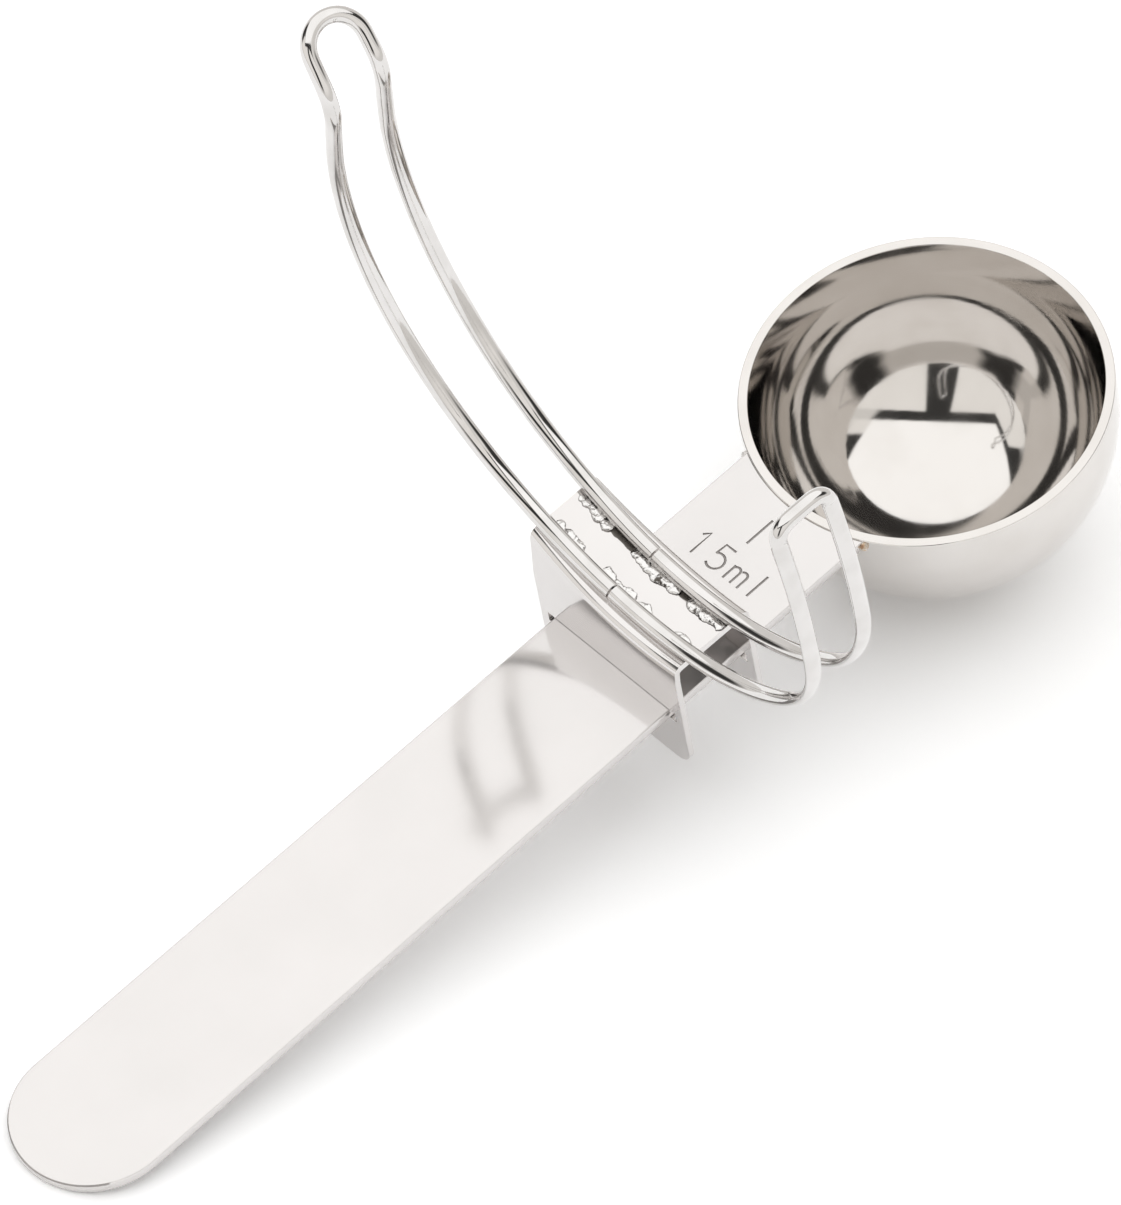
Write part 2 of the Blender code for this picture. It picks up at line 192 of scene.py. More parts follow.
def handleCoordinates(tree):
    # object coordinates turned into the handle's frame
    place = tree.add("ShaderNodeTexCoord").out("Object")
    sockets = {"Vector": place, "Location": handleFrame.translation, "Rotation": handleTurn}
    return tree.add("ShaderNodeMapping", {"vector_type": "TEXTURE"}, sockets)


def newMaterial(name):
    material = bpy.data.materials.new(name)
    material.use_nodes = True
    return material, Tree(material.node_tree)


def finishMetal(material, tree, colour, roughness, height, metallic=1.0):
    # the shader, fed with what varies; height is in metres
    bump = tree.add("ShaderNodeBump", {}, {"Strength": 1.0, "Distance": 1.0, "Height": height})
    shader = tree.add("ShaderNodeBsdfPrincipled", {}, {
        "Base Color": colour, "Roughness": roughness, "Metallic": metallic, "Normal": bump})
    tree.add("ShaderNodeOutputMaterial", {}, {"Surface": shader})
    return material


# Scales are in waves to the metre, and a pair that ends in From is the noise value at which a
# thing begins and the softness of its edge

polishLook = {
    "colour": (0.688, 0.664, 0.640),
    "stain": (0.62, 0.59, 0.56),
    "stainFrom": (0.6, 0.35),
    "stainShare": 0.5,
    "roughness": 0.045,
    "roughnessSpread": 0.05,
    "dullFrom": (0.55, 0.4),
    "cloudScale": 160.0,
    "grainScale": 2600.0,
    "grainRoughness": 0.02,
    "ringPitch": 0.45 * mm,      # the fine rings that spinning and polishing leave
    "ringWander": 4.0,           # radians by which the clouds shift the rings
    "ringDepth": 0.00012 * mm,
    "waveScale": 110.0,
    "waveStretch": (1.0, 1.0, 0.6),
    "waveDepth": 0.004 * mm,     # slow waves in the drawn wall
}


def makePolish():
    look = polishLook
    material, tree = newMaterial("polished_bowl")
    where = handleCoordinates(tree)
    cloud = tree.noise(where, look["cloudScale"], detail=3.0)
    grain = tree.noise(where, look["grainScale"])
    turns = tree.split(where).out("Z") * (2 * pi / look["ringPitch"])
    rings = (turns + cloud * look["ringWander"]).sine()
    stretched = tree.vector("MULTIPLY", where, look["waveStretch"])
    slow = tree.noise(stretched, look["waveScale"], detail=1.0)
    height = rings * look["ringDepth"] + slow * look["waveDepth"]
    rough = look["roughness"] + look["roughnessSpread"] * cloud.past(*look["dullFrom"])
    rough = rough + look["grainRoughness"] * grain
    stained = cloud.past(*look["stainFrom"]) * look["stainShare"]
    colour = tree.mix(stained, look["colour"], look["stain"])
    return finishMetal(material, tree, colour, rough, height)


rolledGrain = {
    "grainScale": 5200.0,
    "grainStretch": (0.04, 1.0, 1.0),  # drawn out along the handle
    "cloudScale": 90.0,
    "waveScale": 60.0,
    "dullFrom": (0.55, 0.5),
}

stripLook = {
    "colour": (0.748, 0.727, 0.718),
    "dull": (0.714, 0.695, 0.684),
    "metallic": 0.65,            # the haze of fine scratches takes the rest
    "roughness": 0.07,
    "roughnessSpread": 0.04,
    "grainDepth": 0.0005 * mm,
    "waveDepth": 0.004 * mm,
    # painted shade: the colour inside the engraved grooves
    "groove": (0.33, 0.31, 0.30),
    "grooveRoughness": 0.3,
    "grooveMargin": 1.0 * mm,    # no groove comes nearer to the strip's sides
    "grooveEdge": 0.1 * mm,
}

sheetLook = {
    "colour": (0.71, 0.69, 0.68),
    "dull": (0.67, 0.65, 0.64),
    "metallic": 1.0,
    "roughness": 0.09,
    "roughnessSpread": 0.05,
    "grainDepth": 0.0005 * mm,
    "waveDepth": 0.008 * mm,
    # painted shade: the colour of the recess beside and under the right arms
    "soot": (0.13, 0.12, 0.11),
    "sootRoughness": 0.2,
    "sootScale": 900.0,
    "sootWidth": 0.35 * mm,
    "sootWander": 0.5 * mm,
    "sootSpan": (2.6 * mm, 6.6 * mm),  # on both sides of the handle's middle line
    "sootEdge": 0.08 * mm,       # how softly it ends beside the arm,
    "sootUnder": 0.1 * mm,       # under the arm,
    "sootEnds": 0.3 * mm,        # at the ends of its span
    "sootFoot": 1.0 * mm,        # and down the sheet
}


def shadeGrooves(tree, where, look, colour, rough):
    # painted shade in the engraved grooves, which are also rougher: under the face, over the
    # underside, and inside the strip's flat part
    depth = markShape["lineWidth"] / 2
    place = tree.split(where)
    down = -place.out("Z")
    margin = handleShape["neckWidth"] / 2 - look["grooveMargin"]
    inside = 1 - place.out("Y").size().past(margin, look["grooveEdge"])
    groove = inside * down.past(depth / 4, depth / 4) * (1 - down.past(depth * 2, depth / 4))
    return tree.mix(groove, colour, look["groove"]), rough + groove * look["grooveRoughness"]


def paintShadeByArms(tree, where, look, colour, rough):
    # painted shade on the web, in the recess along the right arms' inner side and under them,
    # between their runs of braze
    place = tree.split(where)
    across = place.out("Y")
    along = place.out("X") + scoop["clipStation"] - across * scoop["clipSkew"]
    wander = (tree.noise(where, look["sootScale"], detail=3.0) - 0.5) * look["sootWander"]
    inner = (clipShape["webSpacing"] - clipShape["wireSize"]) / 2 - look["sootWidth"]
    under = 1 - along.past(clipShape["webSpacing"] / 2, look["sootUnder"])
    beside = (along + wander).past(inner, look["sootEdge"]) * under
    start, end = look["sootSpan"]
    beyond = (across.size() - (start + end) / 2).size() + wander
    stretch = 1 - beyond.past((end - start) / 2, look["sootEnds"])
    above = place.out("Z").past(clipShape["bightHeight"] / 2, look["sootFoot"])
    # the mask of the painted shade
    soot = beside * stretch * above
    return tree.mix(soot, colour, look["soot"]), rough + soot * look["sootRoughness"]


def makeStrip(name, look, detail):
    # rolled sheet: a faint grain along the strip, slow waves and a few duller clouds
    material, tree = newMaterial(name)
    where = handleCoordinates(tree)
    drawnOut = tree.vector("MULTIPLY", where, rolledGrain["grainStretch"])
    grain = tree.noise(drawnOut, rolledGrain["grainScale"])
    cloud = tree.noise(where, rolledGrain["cloudScale"], detail=3.0)
    slow = tree.noise(where, rolledGrain["waveScale"], detail=1.0)
    height = grain * look["grainDepth"] + slow * look["waveDepth"]
    rough = look["roughness"] + look["roughnessSpread"] * (cloud * grain * 2.0)
    colour = tree.mix(cloud.past(*rolledGrain["dullFrom"]), look["colour"], look["dull"])
    colour, rough = detail(tree, where, look, colour, rough)
    return finishMetal(material, tree, colour, rough, height, look["metallic"])


wireLook = {
    "colour": (0.70, 0.685, 0.675),
    "dull": (0.63, 0.615, 0.60),
    "roughness": 0.05,
    "roughnessSpread": 0.06,
    "cloudScale": 260.0,
    "wornFrom": (0.55, 0.3),
    "waveDepth": 0.002 * mm,
}


def makeWireMetal():
    # drawn wire: polished, with slow waves and duller patches where it was pressed and bent
    material, tree = newMaterial("drawn_wire")
    where = tree.add("ShaderNodeTexCoord").out("Object")
    cloud = tree.noise(where, wireLook["cloudScale"], detail=3.0)
    worn = cloud.past(*wireLook["wornFrom"])
    rough = wireLook["roughness"] + wireLook["roughnessSpread"] * worn
    colour = tree.mix(worn, wireLook["colour"], wireLook["dull"])
    return finishMetal(material, tree, colour, rough, cloud * wireLook["waveDepth"])


weldLook = {
    "bright": (0.66, 0.64, 0.62),
    "straw": (0.60, 0.47, 0.34),
    "brown": (0.36, 0.22, 0.14),
    "heatPlaces": (0.38, 0.5, 0.6),  # patch values at which the three are pure
    "patchScale": 1400.0,
    "roughness": 0.25,
    "roughnessSpread": 0.3,
    "rippleScale": 2400.0,
    "rippleDepth": 0.01 * mm,
    "sideEdge": 1.0 * mm,
}


def makeWeldMetal():
    # bright steel, and on the bead at the hook's side, which wasn't cleaned, the heat's colours
    look = weldLook
    material, tree = newMaterial("heat_tinted_weld")
    where = handleCoordinates(tree)
    patch = tree.noise(where, look["patchScale"], detail=3.0)
    stops = list(zip(look["heatPlaces"], (look["bright"], look["straw"], look["brown"])))
    heat = tree.add("ShaderNodeValToRGB", {"stops": stops}, {"Fac": patch})
    hookSide = (-tree.split(where).out("Y")).past(0.0, look["sideEdge"])
    colour = tree.mix(hookSide, look["bright"], heat)
    rough = look["roughness"] + look["roughnessSpread"] * patch
    ripple = tree.noise(where, look["rippleScale"])
    return finishMetal(material, tree, colour, rough, ripple * look["rippleDepth"])


brazeLook = {
    "bright": (0.76, 0.75, 0.74),
    # painted shade along the braze's edge on the web, and the colour of its random dark patches
    "dark": (0.10, 0.09, 0.08),
    "roughness": 0.2,
    "darkRoughness": 0.3,        # what the dark edge adds
    "grainScale": 1500.0,
    "grainDepth": 0.02 * mm,
    "sootScale": 900.0,
    "darkPatchFrom": (0.64, 0.06),
    # the painted shade along the edge reaches this far up from the web
    "edgeLift": 0.07 * mm,       # how far up from the web the dark edge reaches
    "edgeSoftness": 0.02 * mm,
}


def makeBrazeMetal():
    # ragged bright metal, with painted shade along its edge on the web and random dark patches
    look = brazeLook
    material, tree = newMaterial("ragged_braze")
    where = tree.add("ShaderNodeTexCoord").out("Object")
    grain = tree.noise(where, look["grainScale"], detail=4.0, roughness=0.7)
    soot = tree.noise(where, look["sootScale"], detail=3.0, roughness=0.6)
    lift = tree.add("ShaderNodeAttribute", {"attribute_name": "lift"}).out("Fac")
    # painted shade where the skin lies low over the web
    edge = 1 - lift.past(look["edgeLift"] * soot * 2, look["edgeSoftness"])
    colour = tree.mix(edge.most(soot.past(*look["darkPatchFrom"])), look["bright"], look["dark"])
    rough = look["roughness"] + look["darkRoughness"] * edge
    return finishMetal(material, tree, colour, rough, grain * look["grainDepth"])


# Pieces

def newObject(data, name="shape"):
    shape = bpy.data.objects.new(name, data)
    bpy.context.scene.collection.objects.link(shape)
    return shape


def addPiece(name, mesh, material, body, stoodFor):
    mesh.name = name
    mesh.materials.clear()
    mesh.materials.append(material)
    piece = newObject(mesh, name)
    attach(piece, body)
    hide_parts(*stoodFor)
    print(name, "has", len(mesh.polygons), "faces")


def meshFrom(build, place=None):
    # a mesh from what build puts into a bmesh, with its doubles merged and its faces outwards
    bm = bmesh.new()
    build(bm)
    bmesh.ops.remove_doubles(bm, verts=bm.verts, dist=mergeDistance)
    bmesh.ops.recalc_face_normals(bm, faces=bm.faces)
    mesh = bpy.data.meshes.new("piece")
    bm.to_mesh(mesh)
    bm.free()
    if place is not None:
        mesh.transform(place)
    return mesh


def shadeByAngle(mesh, angle):
    mesh.shade_smooth()
    mesh.set_sharp_from_angle(angle=angle)


def keepFlat(mesh, up):
    # a sharp edge round each flat face, so that the rounded edges don't bend its shading
    flatCosine = 0.9999
    bm = bmesh.new()
    bm.from_mesh(mesh)
    for edge in bm.edges:
        flat = [abs(face.normal.dot(up)) > flatCosine for face in edge.link_faces]
        if any(flat) and not all(flat):
            edge.smooth = False
    bm.to_mesh(mesh)
    bm.free()


def plainMesh(shape, *cutters):
    # the evaluated shape as a mesh with nothing live on it; the shape and its cutters go
    bpy.context.view_layer.update()
    graph = bpy.context.evaluated_depsgraph_get()
    mesh = bpy.data.meshes.new_from_object(shape.evaluated_get(graph))
    for used in (shape, *cutters):
        bpy.data.objects.remove(used, do_unlink=True)
    return mesh


def addCut(shape, cutter):
    cut = shape.modifiers.new("cut", "BOOLEAN")
    cut.operation = "DIFFERENCE"
    cut.solver = "EXACT"
    cut.object = cutter


def addRounding(shape, sizes):
    edge = shape.modifiers.new("edge", "BEVEL")
    edge.width = sizes["edgeRound"]
    edge.segments = sizes["edgeSteps"]
    edge.limit_method = "ANGLE"
    edge.angle_limit = sizes["edgeAngle"]


def arc(centre, radius, start, end, steps):
    turn = (end - start) / steps
    angles = [start + turn * i for i in range(steps + 1)]
    return [(centre[0] + radius * cos(angle), centre[1] + radius * sin(angle)) for angle in angles]


bowlShape = {
    "innerRadius": 17.6 * mm,
    "outerWall": 3.5 * mm,       # straight part under the rim, outside
    "innerWall": 4.8 * mm,       # the same inside
    "innerDepth": 16.4 * mm,     # from the straight part to the bottom, inside
    "innerLip": 0.1 * mm,        # radii of the rounded rim
    "outerLip": 0.14 * mm,
    "innerLipSteps": 6,
    "outerLipSteps": 8,
    "around": 224,
    "down": 56,
}


def makeBowl(material):
    # a turned wall: from the inner pole, over the rim and down the outside
    inner = bowlShape["innerRadius"]
    outer = scoop["bowlRadius"]
    rim = scoop["rimAboveHandle"]
    innerLip, outerLip = bowlShape["innerLip"], bowlShape["outerLip"]
    quarter = arc((0, 0), 1, -pi / 2, 0, bowlShape["down"])
    section = [(inner * across, rim - bowlShape["innerWall"] + bowlShape["innerDepth"] * up)
               for across, up in quarter]
    section += arc((inner + innerLip, rim - innerLip), innerLip, pi, pi / 2,
                   bowlShape["innerLipSteps"])
    section += arc((outer - outerLip, rim - outerLip), outerLip, pi / 2, 0,
                   bowlShape["outerLipSteps"])
    section += arc((0, rim - bowlShape["outerWall"]), outer, 0, -pi / 2, bowlShape["down"])

    def build(bm):
        around = bowlShape["around"]
        poles = [bm.verts.new((0, 0, section[0][1])), bm.verts.new((0, 0, section[-1][1]))]
        rings = [[bm.verts.new((r * cos(2 * pi * k / around), r * sin(2 * pi * k / around), z))
                  for k in range(around)] for r, z in section[1:-1]]
        for k in range(around):
            j = (k + 1) % around
            bm.faces.new((poles[0], rings[0][k], rings[0][j]))
            bm.faces.new((poles[1], rings[-1][j], rings[-1][k]))
            for ring, following in zip(rings, rings[1:]):
                bm.faces.new((ring[k], following[k], following[j], ring[j]))

    mesh = meshFrom(build, handleFrame)
    mesh.shade_smooth()
    addPiece("bowl_turned", mesh, material, "scoop", ["bowl"])


handleShape = {
    "reach": 121.1 * mm,         # bowl's axis to the round end
    "tipWidth": 16.8 * mm,
    "neckWidth": 16.1 * mm,
    "edgeRound": 0.15 * mm,
    "edgeSteps": 3,
    "edgeAngle": radians(60),    # edges sharper than this are rounded
    "sharpAngle": radians(50),   # shading breaks at edges sharper than this
    "neckSeat": 0.05 * mm,       # how far the strip runs into the bowl's wall
    "neckSteps": 40,
    "tipSteps": 96,
}

markShape = {
    "lineWidth": 0.27 * mm,
    "rowHeight": 3.0 * mm,
    "rowStart": 4.7 * mm,        # across the handle, on the lever's side
    "rowFoot": -28.8 * mm,       # along the handle, from the bowl's axis
    "pitch": 2.75 * mm,
    "tickLength": 3.6 * mm,
    "tickFoot": -24.4 * mm,
    "tickSide": 0.3 * mm,
    "roundness": 3,              # of the tubes that cut the lines
}


def halfWidth(x):
    neck, tip = handleShape["neckWidth"], handleShape["tipWidth"]
    return (neck + (tip - neck) * (-x / handleShape["reach"])) / 2


def handleOutline():
    seat = scoop["bowlRadius"] - handleShape["neckSeat"]
    reach = asin(halfWidth(-seat) / seat)
    neck = arc((0, 0), seat, pi + reach, pi - reach, handleShape["neckSteps"])
    tip = handleShape["tipWidth"] / 2
    middle = (tip - handleShape["reach"], 0)
    return neck + arc(middle, tip, pi / 2, 3 * pi / 2, handleShape["tipSteps"])


def signStrokes():
    # the plain measure 15 ml: each sign's strokes as (right, up) points from its lower left, in
    # shares of its height
    flag = [(0.55, 1.0), (0.10, 1.0), (0.07, 0.54)]
    belly = arc((0.27, 0.32), 0.32, radians(130), radians(-138), 16)
    hump = arc((0.16, 0.47), 0.16, pi * 0.85, 0, 8)
    second = arc((0.48, 0.47), 0.16, pi * 0.78, 0, 8)
    return [
        [[(0.12, 0.78), (0.32, 1.0), (0.32, 0.0)]],
        [flag, belly],
        [[(0.0, 0.0), (0.0, 0.63)], hump + [(0.32, 0.0)], second + [(0.64, 0.0)]],
        [[(0.2, 0.0), (0.2, 1.0)]],
    ]


def strokePaths():
    # the strokes laid on the handle: signs read towards -Y and stand up towards +X
    height = markShape["rowHeight"]
    foot = markShape["rowFoot"]
    paths = []
    for i, sign in enumerate(signStrokes()):
        side = markShape["rowStart"] - i * markShape["pitch"]
        for stroke in sign:
            paths.append([(foot + up * height, side - right * height, 0) for right, up in stroke])
    foot = markShape["tickFoot"]
    side = markShape["tickSide"]
    paths.append([(foot, side, 0), (foot + markShape["tickLength"], side, 0)])
    return paths


def strokeTube(path):
    # a round cutter along one stroke
    curve = bpy.data.curves.new("stroke", "CURVE")
    curve.dimensions = "3D"
    curve.bevel_depth = markShape["lineWidth"] / 2
    curve.bevel_resolution = markShape["roundness"]
    curve.use_fill_caps = True
    spline = curve.splines.new("POLY")
    spline.points.add(len(path) - 1)
    for point, place in zip(spline.points, path):
        point.co = (*place, 1)
    mesh = plainMesh(newObject(curve))
    return newObject(meshFrom(lambda bm: bm.from_mesh(mesh)))


def makeHandle(material):
    thickness = scoop["handleThickness"]

    def build(bm):
        lower = bm.faces.new([bm.verts.new((x, y, -thickness)) for x, y in handleOutline()])
        raised = bmesh.ops.extrude_face_region(bm, geom=[lower])
        top = [item for item in raised["geom"] if isinstance(item, bmesh.types.BMVert)]
        bmesh.ops.translate(bm, verts=top, vec=(0, 0, thickness))

    strip = newObject(meshFrom(build))
    addRounding(strip, handleShape)
    cutters = [strokeTube(path) for path in strokePaths()]
    for cutter in cutters:
        addCut(strip, cutter)
    mesh = plainMesh(strip, *cutters)
    shadeByAngle(mesh, handleShape["sharpAngle"])
    keepFlat(mesh, Vector((0, 0, 1)))
    mesh.transform(handleFrame)
    addPiece("handle_engraved", mesh, material, "scoop", ["handle_strip"])


beadShape = {
    "radius": 0.45 * mm,
    "seat": 0.32 * mm,           # how deep a bead sits in the corner
    "height": 1.05,              # as a share of its width
    "ringShare": 0.08,           # ripples up the bead, as a share of its radius
    "ringPace": 9,
    "lumpShare": 0.07,           # lumps round it
    "lumpPace": (7, 5),
    "fineness": 4,
}


def makeWelds(material):
    # a short lumpy bead in each corner between the strip's side and the bowl's wall
    radius = beadShape["radius"]
    away = scoop["bowlRadius"] + radius - beadShape["seat"]
    side = halfWidth(-away) + radius - beadShape["seat"]
    middle = -scoop["handleThickness"] / 2
    paceX, paceY = beadShape["lumpPace"]

    def lumpy(way, sign):
        ring = beadShape["ringShare"] * sin(beadShape["ringPace"] * way.z + sign)
        lump = beadShape["lumpShare"] * sin(paceX * way.x + paceY * way.y)
        return Vector((way.x, way.y, way.z * beadShape["height"])) * radius * (1 + ring + lump)

    for name, sign in (("left", 1), ("right", -1)):
        def build(bm):
            centre = Vector((-sqrt(away ** 2 - side ** 2), sign * side, middle))
            bmesh.ops.create_icosphere(bm, subdivisions=beadShape["fineness"], radius=radius)
            for vertex in bm.verts:
                vertex.co = centre + lumpy(vertex.co.normalized(), sign)

        mesh = meshFrom(build, handleFrame)
        mesh.shade_smooth()
        addPiece("weld_" + name, mesh, material, "scoop", ["weld_bead_" + name])


# Clip wire: centre lines in planes across the handle

clipShape = {
    "webSpacing": 5.7 * mm,      # of each wire's two arms, on the web
    "wireSize": 1.7 * mm,
    "armWidth": 1.9 * mm,        # of the pressed arms
    "armThickness": 1.45 * mm,   # of the lever's
    "bandThickness": 1.2 * mm,   # of the hook's
    "loopSize": 1.72 * mm,
    "bightSide": -5.8 * mm,      # the wires' lowest point
    "bightHeight": 8.8 * mm,
    "buttSide": 0.5 * mm,        # where the two wires meet end to end
    "buttGap": 0.24 * mm,
    "turnStep": radians(2),
    "leastSteps": 3,
    "cornerSteps": 8,
    "step": 0.25 * mm,
    "rounding": 6,
    "sides": 28,
    "sharpAngle": radians(50),
}

leverShape = {
    "arcs": ((32.2 * mm, radians(26)), (41.4 * mm, radians(70.0)), (130.0 * mm, radians(3.8))),
    "middleSpacing": 7.0 * mm,
    "neckSpacing": 6.4 * mm,
    "loopLength": 7.4 * mm,
    "loopHalfWidth": 3.1 * mm,
    "loopSteps": 48,
    "sideSteps": 7,
    "setBack": radians(47),
    "lean": radians(11.0),
    "neckBend": 2.6 * mm,        # how far on each side of the neck the wire is bent
    "pressPace": 3,              # the arms are fully pressed after a third of their length
    "releaseSteps": 4,           # samples over which the pressing ends at the neck
}

hookShape = {
    "arcs": ((29.2 * mm, radians(42.5)), (16.9 * mm, radians(47)), (78.0 * mm, radians(13))),
    "spacing": 6.7 * mm,
    "corner": 1.6 * mm,
    "cornerSteps": 10,
    "webSteps": 10,
    "pressPace": 2,
}


def wireHeight(y):
    radius = leverShape["arcs"][0][0] if y > clipShape["bightSide"] else hookShape["arcs"][0][0]
    return clipShape["bightHeight"] + radius - sqrt(radius ** 2 - (y - clipShape["bightSide"]) ** 2)


def climb(sign, arcs, lead):
    # points (y, z) along tangent arcs from the lowest point, without the first angle, lead
    y = clipShape["bightSide"]
    z = clipShape["bightHeight"]
    slope = 0
    points = []
    for radius, turn in arcs:
        centre = (y - sign * radius * sin(slope), z + radius * cos(slope))
        steps = max(clipShape["leastSteps"], round(turn / clipShape["turnStep"]))
        for i in range(steps + 1):
            angle = slope + turn * i / steps
            if angle > lead or not points:
                angle = max(angle, lead)
                points.append((centre[0] + sign * radius * sin(angle),
                               centre[1] - radius * cos(angle)))
        y, z = points.pop()
        slope += turn
    return points + [(y, z)]


def leverHalf(share):
    # half the arms' spacing at a share of their rise: it bows out between the web and the neck
    web = clipShape["webSpacing"]
    neck = leverShape["neckSpacing"]
    bow = leverShape["middleSpacing"] - (web + neck) / 2
    return (web + (neck - web) * share + bow * 4 * share * (1 - share)) / 2


def hookHalf(share):
    # the same for the hook: it widens over the lower half and then stays
    web = clipShape["webSpacing"]
    return (web + (hookShape["spacing"] - web) * min(1, 2 * share)) / 2


def armSamples(arm, halfAt, sign):
    # (point, flat normal) pairs along one arm
    low = clipShape["bightHeight"]
    samples = []
    for i, (y, z) in enumerate(arm):
        half = halfAt(max(z - low, 0) / (arm[-1][1] - low))
        before = arm[max(i - 1, 0)]
        after = arm[min(i + 1, len(arm) - 1)]
        along = Vector((0, after[0] - before[0], after[1] - before[1])).normalized()
        samples.append((Vector((sign * half, y, z)), along.cross(Vector((1, 0, 0)))))
    return samples


def bendBetween(before, after, corner):
    # samples of a smooth bend from the last sample before a corner to the first one after it
    samples = []
    steps = clipShape["cornerSteps"]
    for share in (i / steps for i in range(1, steps)):
        point = before[0].lerp(corner, share).lerp(corner.lerp(after[0], share), share)
        samples.append((point, before[1].lerp(after[1], share).normalized()))
    return samples


def pressed(share, thickness):
    # the wire's (width, thickness) where it is pressed by that share
    size = clipShape["wireSize"]
    return (size + (clipShape["armWidth"] - size) * share, size + (thickness - size) * share)


def leverSamples():
    gap = clipShape["buttGap"] / 2
    lead = asin((clipShape["buttSide"] + gap - clipShape["bightSide"]) / leverShape["arcs"][0][0])
    arm = climb(1, leverShape["arcs"], lead)
    left = armSamples(arm, leverHalf, -1)
    right = armSamples(arm, leverHalf, 1)

    # the loop in its own plane, from the middle of the neck, then set back and leant
    neck = leverShape["neckSpacing"] / 2
    wide = leverShape["loopHalfWidth"]
    crown = leverShape["loopLength"] - wide
    bend = leverShape["neckBend"]
    steps = leverShape["sideSteps"]
    shares = [bend / crown + (1 - bend / crown) * i / steps for i in range(steps)]
    side = [(-neck - (wide - neck) * (1 - cos(pi * share)) / 2, crown * share) for share in shares]
    loop = side + arc((0, crown), wide, pi, 0, leverShape["loopSteps"])
    loop += [(-across, up) for across, up in reversed(side)]
    setBack = Matrix.Rotation(-leverShape["setBack"], 3, "X")
    lean = Matrix.Rotation(leverShape["lean"], 3, "Y")
    foot = Vector((0, *arm[-1]))
    normal = setBack @ Vector((0, 1, 0))
    bent = [(foot + setBack @ (lean @ Vector((across, 0, up))), normal) for across, up in loop]

    # the arms end a bend's length before the neck
    leftCorner, rightCorner = left[-1][0], right[-1][0]
    left = [sample for sample in left if (sample[0] - leftCorner).length > bend]
    count = len(left)
    right = right[:count]
    into = bendBetween(left[-1], bent[0], leftCorner)
    out = bendBetween(bent[-1], right[-1], rightCorner)
    bent = into + bent + out

    sizes = []
    for i in range(count):
        onset = min(1, leverShape["pressPace"] * i / count)
        release = min(1, (count - 1 - i) / leverShape["releaseSteps"])
        sizes.append(pressed(onset * release, clipShape["armThickness"]))
    loopSize = clipShape["loopSize"]
    sizes = sizes + [(loopSize, loopSize)] * len(bent) + sizes[::-1]
    return left + bent + right[::-1], sizes


def hookSamples():
    start = clipShape["buttSide"] - clipShape["buttGap"] / 2
    steps = hookShape["webSteps"]
    web = [start + (clipShape["bightSide"] - start) * i / steps for i in range(steps)]
    arm = [(y, wireHeight(y)) for y in web] + climb(-1, hookShape["arcs"], 0)
    left = armSamples(arm, hookHalf, -1)
    right = armSamples(arm, hookHalf, 1)

    # the closed bar with its two corners, in the plane of the arms' upper ends
    top, normal = left[-1]
    up = (top - left[-2][0]).normalized()
    bend = hookShape["corner"]
    corner = arc((bend, 0), bend, pi, pi / 2, hookShape["cornerSteps"])[1:]
    bar = corner + [(hookShape["spacing"] - across, rise) for across, rise in reversed(corner)]
    bent = [(top + Vector((across, 0, 0)) + up * rise, normal) for across, rise in bar]

    count = len(arm)
    sizes = [pressed(min(1, hookShape["pressPace"] * i / count), clipShape["bandThickness"])
             for i in range(count)]
    sizes = sizes + [pressed(0, 0)] * len(bent) + sizes[::-1]
    return left + bent + right[::-1], sizes


def guideMesh(points, numbers=None, vectors=None):
    # a line of points that carries values for a geometry group
    mesh = bpy.data.meshes.new("guide")
    mesh.from_pydata(points, [(i, i + 1) for i in range(len(points) - 1)], [])
    for name, values in (numbers or {}).items():
        mesh.attributes.new(name, "FLOAT", "POINT").data.foreach_set("value", values)
    for name, values in (vectors or {}).items():
        layer = mesh.attributes.new(name, "FLOAT_VECTOR", "POINT")
        layer.data.foreach_set("vector", [part for value in values for part in value])
    return mesh


def startGroup(name, sizes, labels):
    # a geometry group with named inputs for those sizes and the metal, and its guide as a curve
    group = bpy.data.node_groups.new(name, "GeometryNodeTree")
    sockets = group.interface
    sockets.new_socket("Geometry", in_out="INPUT", socket_type="NodeSocketGeometry")
    sockets.new_socket("Geometry", in_out="OUTPUT", socket_type="NodeSocketGeometry")
    for label in labels:
        kind = "NodeSocketInt" if isinstance(sizes[label], int) else "NodeSocketFloat"
        sockets.new_socket(label, in_out="INPUT", socket_type=kind).default_value = sizes[label]
    sockets.new_socket("metal", in_out="INPUT", socket_type="NodeSocketMaterial")
    tree = Tree(group)
    given = tree.add("NodeGroupInput")
    curve = tree.add("GeometryNodeMeshToCurve", {}, {"Mesh": given.out("Geometry")})
    curve = tree.add("GeometryNodeResampleCurve", {"mode": "LENGTH"},
                     {"Curve": curve, "Length": given.out("step")})
    return group, tree, given, curve


def runGroup(group, guide, values):
    # the group run on a guide, with its inputs set by their identifiers, as a plain mesh
    shape = newObject(guide)
    modifier = shape.modifiers.new("group", "NODES")
    modifier.node_group = group
    for item in group.interface.items_tree:
        if item.in_out == "INPUT" and item.name in values:
            modifier[item.identifier] = values[item.name]
    return plainMesh(shape)


def named(tree, name, kind):
    return tree.add("GeometryNodeInputNamedAttribute", {"data_type": kind}, {"Name": name})


def finishGroup(tree, skin, given):
    skin = tree.add("GeometryNodeSetShadeSmooth", {}, {"Geometry": skin})
    skin = tree.add("GeometryNodeRealizeInstances", {}, {"Geometry": skin})
    skin = tree.add("GeometryNodeSetMaterial", {},
                    {"Geometry": skin, "Material": given.out("metal")})
    tree.add("NodeGroupOutput", {}, {"Geometry": skin})


